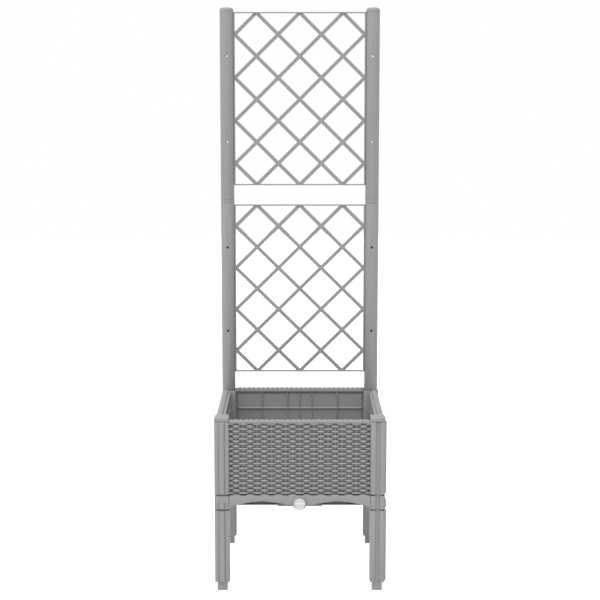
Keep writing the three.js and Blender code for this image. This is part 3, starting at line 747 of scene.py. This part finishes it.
class PLANTER_OT_post_caps(bpy.types.Operator):
    """Model the caps of the two front corner posts"""
    bl_idname = "planter.post_caps"
    bl_label = "Post caps"

    def execute(self, context):
        sizes = context.scene.planter_posts
        axis = POST_HALF - sizes.side / 2
        top = LEVELS["post_cap_front_left"][1]
        bottom = LEVELS["corner_post_front_left"][1] - CAP_LAP
        model = rounded_post(sizes, 0, top - bottom)
        pick_faces(model, (0, 0, 1))
        bpy.ops.mesh.inset(thickness=CAP_CHAMFER)
        done(model)
        lower_rim = top - bottom - CAP_CHAMFER
        pick(model, "VERT", lambda v: v.co.z > lower_rim
             and max(abs(v.co.x), abs(v.co.y)) > sizes.side / 2 - 0.8 * CAP_CHAMFER)
        bpy.ops.transform.translate(value=(0, 0, -CAP_CHAMFER))
        done(model)
        soften(model, 0.0008, 3, 20)
        for side, sign in HANDS.items():
            node = f"post_cap_front_{side}"
            piece = shifted(copy_of(model), (sign * axis, -axis, bottom))
            peg = square_block(sizes.peg, LEVELS[node][0], bottom + 2 * OVERLAP)
            gather(piece, shifted(peg, (sign * axis, -axis, 0)))
            settle(piece, node)
        discard(model)
        return {"FINISHED"}


# ---- skirts and water tray
SKIRT_FACE = 0.2066
SKIRT_HALF = PANEL_HALF  # also of the tray between its notches
SKIRT_THICKNESS = 0.003
SKIRT_COLUMNS = 160
LEDGE_FACE = 0.2056  # the ledge carries the tray's flange
LEDGE_THICKNESS = 0.003
BOSS_ROOT = 0.2052
BOSS_RADIUS = 0.0152
BOSS_FACE = 0.2106
FLARE_RADIUS = 0.0176  # wider foot of the boss
FLARE_DROP = 0.0008
FLARE_SLOPE = (0.0032, 0.82)  # its rise, and how far it narrows
SPOUT_RADIUS = 0.0105  # from the tray's wall to the boss
BORE_RADIUS = 0.0063
TRAY_OUTER = 0.197
TRAY_FLANGE = 0.203  # outer edge of the flange at the tray's top
TRAY_WALL = 0.1945  # outer face of the wall
TRAY_THICKNESS = 0.003
TRAY_RIM = 0.2005  # outer edge of the thin rim round the tray's bottom
RIM_HEIGHT = 0.0014
SUMP_HALF = 0.054  # half width of the lower part of the tray's floor
SUMP_DROP = 0.003
DRAFT = 0.97  # width of the tray's bottom as a share of its top
FLANGE_UNDERSIDE = LEVELS["base_tray"][1] - 0.0025
SKIRT_DROPS = (  # from the middle: distance, and drop of the lower edge below the top
    (0.0, 0.0253), (0.0168, 0.0253), (0.0285, 0.0231), (0.0537, 0.0188), (0.0900, 0.0133),
    (0.1230, 0.0170), (0.1440, 0.0218), (0.1540, 0.0232), (0.1630, 0.0262), (0.1707, 0.0314),
)


def skirt_drop(x):
    """Drop of the skirt's lower edge at a distance from the middle, straight between knots."""
    x = min(abs(x), SKIRT_DROPS[-1][0])
    for (x0, drop0), (x1, drop1) in zip(SKIRT_DROPS, SKIRT_DROPS[1:]):
        if x <= x1:
            break
    return drop0 + (drop1 - drop0) * (x - x0) / (x1 - x0)


def smooth_drop(x):
    """The drop averaged over a short stretch, so that the arches run smoothly."""
    reach, samples = 0.006, 9
    return sum(skirt_drop(x + reach * (2 * i / (samples - 1) - 1))
               for i in range(samples)) / samples


def skirt_board(top):
    """The front skirt: a double-arched lower edge, and an upper one that follows the weave."""
    weave_pitch = bpy.context.scene.planter_weave.wave_pitch
    clear_selection()
    bpy.ops.mesh.primitive_grid_add(
        x_subdivisions=SKIRT_COLUMNS, y_subdivisions=1, size=1, location=(0, -SKIRT_FACE, 0),
        rotation=(math.pi / 2, 0, 0))
    board = bpy.context.object
    board.scale = (2 * SKIRT_HALF, 1, 1)
    place_in_mesh(board)
    pick(board, "VERT", lambda vertex: False)
    mesh = bmesh.from_edit_mesh(board.data)
    for vertex in mesh.verts:
        wave = (1 - math.cos(2 * math.pi * vertex.co.x / weave_pitch)) / 2
        drop = smooth_drop(vertex.co.x) if vertex.co.z < 0 else 0.0014 - 0.004 * wave
        vertex.co.z = top - drop
    bmesh.update_edit_mesh(board.data)
    bpy.ops.mesh.select_all(action="SELECT")
    extrude((0, SKIRT_THICKNESS, 0))
    return outwards(done(board))


def cross_block(reach, waist, bottom, top):
    """A square block with notched corners; reach and waist are half widths."""
    return fuse(block((-reach, -waist, bottom), (reach, waist, top)),
                block((-waist, -reach, bottom), (waist, reach, top)))


def along_front(obj, z):
    """Turns a body made along +Z to run along -Y at a height."""
    return shifted(turned(obj, math.pi / 2, "X"), (0, 0, z))


class PLANTER_OT_skirts(bpy.types.Operator):
    """Model the four skirts; the front one has the drain boss"""
    bl_idname = "planter.skirts"
    bl_label = "Skirts"

    def execute(self, context):
        top = LEVELS["skirt_front"][1] - 0.0002
        model = gather(soften(skirt_board(top), 0.0006, 2, 50), self.ledge(SKIRT_HALF, LEDGE_FACE))
        for side, quarter in SIDES.items():
            low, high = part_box(f"skirt_{side}")
            span = (high - low).x if side in ("front", "back") else (high - low).y
            piece = gather(copy_of(model), self.ledge(span / 2, LEDGE_FACE - 0.0002))
            if side == "front":
                gather(piece, self.drain_boss(sum(LEVELS["drain_plug"]) / 2))
            turned(piece, quarter * math.pi / 2)
            settle(piece, f"skirt_{side}")
        discard(model)
        return {"FINISHED"}

    def ledge(self, half, face):
        """The ledge under the tray's flange, or its tongues into the corner sockets."""
        top = FLANGE_UNDERSIDE - CLEARANCE
        return slab(face, TRAY_OUTER + CLEARANCE, half, top - LEDGE_THICKNESS, top)

    def drain_boss(self, drain):
        """The round boss with its lower lip, bored for the plug."""
        boss = rod(BOSS_RADIUS, BOSS_ROOT, BOSS_FACE, 72)
        flare = shifted(rod(FLARE_RADIUS, BOSS_ROOT, SKIRT_FACE, 72), (0, -FLARE_DROP, 0))
        rise, share = FLARE_SLOPE
        pick_faces(flare, (0, 0, 1))
        extrude((0, 0, rise))
        resize((share, share, 1))
        fuse(boss, done(flare))
        carve(boss, rod(BORE_RADIUS, 0.17, 0.22, 48))
        return along_front(soften(boss, 0.0006), drain)


def drafted(obj):
    """Draws the lower end in, as a moulding's draft does."""
    pick_faces(obj, (0, 0, -1))
    resize((DRAFT, DRAFT, 1))
    return done(obj)


class PLANTER_OT_base_tray(bpy.types.Operator):
    """Model the water tray behind the skirts"""
    bl_idname = "planter.base_tray"
    bl_label = "Water tray"

    def execute(self, context):
        drain = sum(LEVELS["drain_plug"]) / 2
        sump, top = LEVELS["base_tray"]
        underside = sump + SUMP_DROP
        inside = TRAY_WALL - TRAY_THICKNESS
        notch = SKIRT_HALF
        tray = drafted(cross_block(TRAY_WALL, notch, underside, top))
        fuse(tray,
             cross_block(TRAY_FLANGE, notch, FLANGE_UNDERSIDE, top),
             cross_block(TRAY_RIM, notch - 0.002, underside, underside + RIM_HEIGHT),
             drafted(self.strip(SUMP_HALF, TRAY_WALL, sump, underside + OVERLAP)),
             self.strip(SUMP_HALF, TRAY_RIM, sump, underside + RIM_HEIGHT),
             along_front(rod(SPOUT_RADIUS, 0.17, SKIRT_FACE - SKIRT_THICKNESS - CLEARANCE, 48),
                         drain))
        carve(tray,
              drafted(cross_block(inside, notch - TRAY_THICKNESS, underside + TRAY_THICKNESS,
                                  top + 0.01)),
              self.strip(SUMP_HALF - 0.004, DRAFT * inside, underside,
                         underside + TRAY_THICKNESS + OVERLAP),
              along_front(rod(BORE_RADIUS, 0.16, 0.22, 48), drain))
        settle(soften(tray, 0.0004), "base_tray")
        return {"FINISHED"}

    def strip(self, half_width, reach, bottom, top):
        """A block across the tray from front to back."""
        return block((-half_width, -reach, bottom), (half_width, reach, top))


# ---- trellis
TUBE_WALL = 0.003
CROWN_HEIGHT = 0.005
CROWN_SLOPES = ((0.0035, 0.82), (0.0015, 0.74))  # rise of a slope, and how far it narrows
TAB_REACH = 0.024  # tabs that reach from the lattice into the tubes
TAB_HALF_HEIGHT = 0.008
TAB_HALF_DEPTH = 0.002
HOLE_MESHES = (1, 3)  # meshes below the lattice's top where the cross holes are


class PLANTER_OT_trellis_tubes(bpy.types.Operator):
    """Model the trellis tubes, their couplers and their caps"""
    bl_idname = "planter.trellis_tubes"
    bl_label = "Trellis tubes"

    def execute(self, context):
        sizes = context.scene.planter_trellis
        for side in HANDS:
            low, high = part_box(f"trellis_tube_upper_{side}")
            radius = (high.x - low.x) / 2
            axis = (low + high) / 2 - MIDDLE
            axis.z = 0
            for storey in ("upper", "lower"):
                node = f"trellis_tube_{storey}_{side}"
                bottom, top = LEVELS[node]
                tube = carve(rod(radius, bottom, top),
                             rod(radius - TUBE_WALL, bottom - 0.01, top + 0.01))
                for z in cross_holes(sizes, storey):
                    carve(tube, along_front(rod(sizes.hole, -0.05, 0.05, 32), z))
                settle(shifted(soften(tube, 0.0005, 2, 40), axis), node)
            self.coupler(side, axis, radius)
            self.cap(side, axis, radius)
        return {"FINISHED"}

    def coupler(self, side, axis, radius):
        """A collar as wide as the tubes on a sleeve that reaches into both."""
        bottom = LEVELS[f"trellis_tube_lower_{side}"][1] + CLEARANCE
        top = LEVELS[f"trellis_tube_upper_{side}"][0] - CLEARANCE
        collar = soften(rod(radius, bottom, top), 0.0007, 3)
        gather(collar, self.spigot(radius, *LEVELS[f"tube_coupler_{side}"]))
        settle(shifted(collar, axis), f"tube_coupler_{side}")

    def cap(self, side, axis, radius):
        """A domed cap in two slopes, with a plug that reaches into the tube."""
        foot, top = LEVELS[f"tube_cap_{side}"]
        bottom = LEVELS[f"trellis_tube_upper_{side}"][1] - CLEARANCE
        cap = rod(radius, bottom, top - CROWN_HEIGHT)
        pick_faces(cap, (0, 0, 1))
        for rise, share in CROWN_SLOPES:
            extrude((0, 0, rise))
            resize((share, share, 1))
        soften(done(cap), 0.0008, 3, 15)
        gather(cap, self.spigot(radius, foot, bottom + 2 * OVERLAP))
        settle(shifted(cap, axis), f"tube_cap_{side}")

    def spigot(self, radius, bottom, top):
        """What reaches into a tube."""
        return soften(rod(radius - TUBE_WALL - CLEARANCE, bottom, top, 48), 0.0005)


def lattice_pitch(sizes, storey):
    """Upright pitch of a lattice panel, from its height in the frame."""
    bottom, top = LEVELS[f"trellis_panel_{storey}"]
    return (top - bottom - sizes.bar) / sizes.up


def cross_holes(sizes, storey):
    """Heights of the holes through a storey's tubes."""
    top = LEVELS[f"trellis_panel_{storey}"][1]
    return [top - sizes.bar / 2 - meshes * lattice_pitch(sizes, storey) for meshes in HOLE_MESHES]


class PLANTER_OT_lattice(bpy.types.Operator):
    """Model the two lattice panels"""
    bl_idname = "planter.lattice"
    bl_label = "Lattice panels"

    def execute(self, context):
        sizes = context.scene.planter_trellis
        low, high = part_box("trellis_tube_upper_left")
        half = MIDDLE.x - high.x - CLEARANCE
        y = (low.y + high.y) / 2 - MIDDLE.y
        hole_x = half + CLEARANCE + (high.x - low.x) / 2
        for storey in ("upper", "lower"):
            node = f"trellis_panel_{storey}"
            top = LEVELS[node][1]
            panel = self.panel(sizes, half, lattice_pitch(sizes, storey))
            for z in cross_holes(sizes, storey):
                for sign in HANDS.values():
                    inner, outer = sorted((sign * (half - OVERLAP), sign * (half + TAB_REACH)))
                    tab = block((inner, -TAB_HALF_DEPTH, z - top - TAB_HALF_HEIGHT),
                                (outer, TAB_HALF_DEPTH, z - top + TAB_HALF_HEIGHT))
                    # the photograph's lower holes are dark, so there the tab closes them
                    if storey == "upper":
                        hole = along_front(rod(sizes.hole, -0.01, 0.01, 32), z - top)
                        carve(tab, shifted(hole, (sign * hole_x, 0, 0)))
                    gather(panel, tab)
            settle(shifted(panel, (0, y, top)), node, f"lattice_{storey}")
        return {"FINISHED"}

    def panel(self, sizes, half, pitch_z):
        """One lattice panel, its top edge at z = 0."""
        pitch_x = 2 * (half - sizes.bar) / sizes.across
        middle = -sizes.bar / 2
        bottom = -sizes.bar - sizes.up * pitch_z
        slats = fuse(*(self.slats(sizes, pitch_x, pitch_z, lean, middle) for lean in (-1, 1)))
        inner = half - sizes.bar / 2
        window = block((-inner, -0.02, bottom + sizes.bar / 2), (inner, 0.02, middle))
        combine(slats, "INTERSECT", [window])
        half_depth = sizes.bar_depth / 2
        rim = block((-half, -half_depth, bottom), (half, half_depth, 0))
        carve(rim, block((-half + sizes.bar, -0.02, bottom + sizes.bar),
                         (half - sizes.bar, 0.02, -sizes.bar)))
        return gather(soften(rim, 0.0006), slats)

    def slats(self, sizes, pitch_x, pitch_z, lean, middle):
        """All slats that lean one way."""
        count = sizes.across + sizes.up
        reach = (count + 1) * math.hypot(pitch_x, pitch_z) / 2
        slat = block((-reach, -sizes.slat_depth / 2, -sizes.slat_width / 2),
                     (reach, sizes.slat_depth / 2, sizes.slat_width / 2))
        soften(slat, 0.0012)
        turned(slat, lean * math.atan2(pitch_z, pitch_x), "Y")
        shifted(slat, (0, 0, middle - sizes.up * pitch_z / 2))
        return centred_row(slat, count, pitch_x)


# ---- drain plug and inner pieces
PLUG_HEAD = 0.0086  # thickness of the head
PLUG_RIM = 0.0024
PLUG_DISH = 0.0018  # depth of the dish in the head's face
PLUG_NOTCHES = 18
GRIP_HALF_LENGTH = 0.0114  # bar across the dish
GRIP_HALF_WIDTH = 0.0023
SHANK_RADIUS = 0.006


class PLANTER_OT_drain_plug(bpy.types.Operator):
    """Model the white screw plug of the drain"""
    bl_idname = "planter.drain_plug"
    bl_label = "Drain plug"

    def execute(self, context):
        low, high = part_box("drain_plug")
        radius = (high.z - low.z) / 2
        back, front = MIDDLE.y - high.y, MIDDLE.y - low.y
        head_back = front - PLUG_HEAD
        head = rod(radius, head_back, front, 90)
        pick_faces(head, (0, 0, 1))
        bpy.ops.mesh.inset(thickness=PLUG_RIM)
        extrude((0, 0, -PLUG_DISH))
        bpy.ops.mesh.inset(thickness=0.0006)
        done(head)
        notch = rod(0.0008, head_back + 0.0016, front + OVERLAP, 12)
        for i in range(PLUG_NOTCHES):
            angle = 2 * math.pi * i / PLUG_NOTCHES
            carve(head, shifted(copy_of(notch),
                                (radius * math.cos(angle), radius * math.sin(angle), 0)))
        discard(notch)
        soften(head, 0.0007, 3, 35)
        grip = block((-GRIP_HALF_LENGTH, -GRIP_HALF_WIDTH, front - 0.004),
                     (GRIP_HALF_LENGTH, GRIP_HALF_WIDTH, front - 0.0001))
        shank = rod(SHANK_RADIUS, back, head_back + OVERLAP, 48)
        gather(head, soften(grip, 0.0009, 3), soften(shank, 0.0006))
        along_front(head, (low.z + high.z) / 2)
        settle(head, "drain_plug", finish="white_plug", body="plug_knob")
        return {"FINISHED"}


class PLANTER_OT_inner_pieces(bpy.types.Operator):
    """Finish the pieces of the frame that stay: floor plate, tube adapters and seal"""
    bl_idname = "planter.inner_pieces"
    bl_label = "Inner pieces"

    def execute(self, context):
        finishes = {"floor_plate": "grey_moulding", "tube_adapter_left": "grey_moulding",
                    "tube_adapter_right": "grey_moulding", "drain_seal": "seal_rubber"}
        for node, finish in finishes.items():
            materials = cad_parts[node].data.materials
            materials.clear()
            materials.append(finish_of(finish))
        return {"FINISHED"}


# ---- stage
FLOOR_RADIUS = 9
KEY_SPREAD = 70  # degrees
KEY_DIRECTION = Vector((0.17, 0.3, -0.92))
CAMERA_PLACE = Vector((0.0006, -3.631, 1.2))  # from the planter's middle
WHITE = (1.0, 1.0, 1.0, 1.0)


class PLANTER_OT_stage(bpy.types.Operator):
    """Set up the floor, the light and the camera"""
    bl_idname = "planter.stage"
    bl_label = "Stage"

    def execute(self, context):
        studio = context.scene.planter_studio
        self.floor(context.scene.planter_finishes)
        self.sky(studio)
        self.key_lamp(studio)
        self.camera(studio)
        context.scene.view_settings.view_transform = "Standard"
        return {"FINISHED"}

    def floor(self, colours):
        clear_selection()
        bpy.ops.mesh.primitive_circle_add(vertices=96, radius=FLOOR_RADIUS, fill_type="NGON")
        floor = bpy.context.object
        floor.name = "studio_floor"
        material = bpy.data.materials.new("studio_floor")
        material.use_nodes = True
        tree = material.node_tree
        shader = tree.nodes["Principled BSDF"]
        shader.inputs["Base Color"].default_value = (*colours.floor, 1.0)
        shader.inputs["Roughness"].default_value = 0.9
        shader.inputs["Specular IOR Level"].default_value = 0.0
        shader.inputs["Emission Color"].default_value = WHITE
        glow = math_node(tree, "MULTIPLY", seen_directly(tree), SEEN_FLOOR_GLOW)
        feed(tree, glow, shader.inputs["Emission Strength"])
        floor.data.materials.append(material)

    def sky(self, studio):
        world = bpy.data.worlds.new("studio_world")
        bpy.context.scene.world = world
        world.use_nodes = True
        tree = world.node_tree
        background = tree.nodes["Background"]
        background.inputs["Color"].default_value = WHITE
        towards = tree.nodes.new("ShaderNodeSeparateXYZ")
        feed(tree, tree.nodes.new("ShaderNodeTexCoord").outputs["Generated"], towards.inputs[0])
        # brighter on the left and in front
        sideways = weighted_sum(tree, towards.outputs["X"], -studio.side_light,
                                towards.outputs["Y"], -studio.front_light)
        light = math_node(tree, "MULTIPLY", math_node(tree, "ADD", sideways, 1.0), studio.sky)
        seen = seen_directly(tree)
        lighting = math_node(tree, "MULTIPLY", math_node(tree, "SUBTRACT", 1.0, seen), light)
        feed(tree, math_node(tree, "ADD", lighting, seen), background.inputs["Strength"])

    def key_lamp(self, studio):
        bpy.ops.object.light_add(type="SUN", location=(-2, -3, 4))
        key = bpy.context.object
        key.name = "key_lamp"
        key.data.energy = studio.key
        key.data.angle = math.radians(KEY_SPREAD)
        key.rotation_euler = KEY_DIRECTION.to_track_quat("-Z", "Y").to_euler()

    def camera(self, studio):
        bpy.ops.object.camera_add(
            location=MIDDLE + CAMERA_PLACE, rotation=(math.pi / 2 - studio.pitch, 0, 0))
        camera = bpy.context.object
        camera.name = "photo_camera"
        camera.data.lens = studio.lens
        camera.data.sensor_width = 36
        camera.data.clip_end = 200
        bpy.context.scene.camera = camera


# ---- panel and registration
class PLANTER_PT_sidebar(bpy.types.Panel):
    """Lists the planter's steps in the 3D view's sidebar"""
    bl_label = "Planter with trellis"
    bl_space_type = "VIEW_3D"
    bl_region_type = "UI"
    bl_category = "Planter"

    def draw(self, context):
        for operator in OPERATORS:
            self.layout.operator(operator.bl_idname)
        for name in SETTINGS:
            group = getattr(context.scene, name)
            for key in group.bl_rna.properties.keys():
                if key not in ("rna_type", "name"):
                    self.layout.prop(group, key)


SETTINGS = {
    "planter_posts": PostSizes,
    "planter_weave": WeaveSizes,
    "planter_trellis": TrellisSizes,
    "planter_finishes": Finishes,
    "planter_studio": StudioSettings,
}
OPERATORS = (
    PLANTER_OT_stage,
    PLANTER_OT_posts,
    PLANTER_OT_skirts,
    PLANTER_OT_base_tray,
    PLANTER_OT_wall_panels,
    PLANTER_OT_post_caps,
    PLANTER_OT_trellis_tubes,
    PLANTER_OT_lattice,
    PLANTER_OT_drain_plug,
    PLANTER_OT_inner_pieces,
)


def register():
    for cls in (*SETTINGS.values(), *OPERATORS, PLANTER_PT_sidebar):
        bpy.utils.register_class(cls)
    for name, group in SETTINGS.items():
        setattr(bpy.types.Scene, name, bpy.props.PointerProperty(type=group))


def unregister():
    for name in SETTINGS:
        delattr(bpy.types.Scene, name)
    for cls in reversed((*SETTINGS.values(), *OPERATORS, PLANTER_PT_sidebar)):
        bpy.utils.unregister_class(cls)


def main():
    register()
    bpy.ops.planter.stage()
    bpy.ops.planter.posts()
    bpy.ops.planter.skirts()
    bpy.ops.planter.base_tray()
    bpy.ops.planter.wall_panels()
    bpy.ops.planter.post_caps()
    bpy.ops.planter.trellis_tubes()
    bpy.ops.planter.lattice()
    bpy.ops.planter.drain_plug()
    bpy.ops.planter.inner_pieces()


if __name__ == "__main__":
    main()
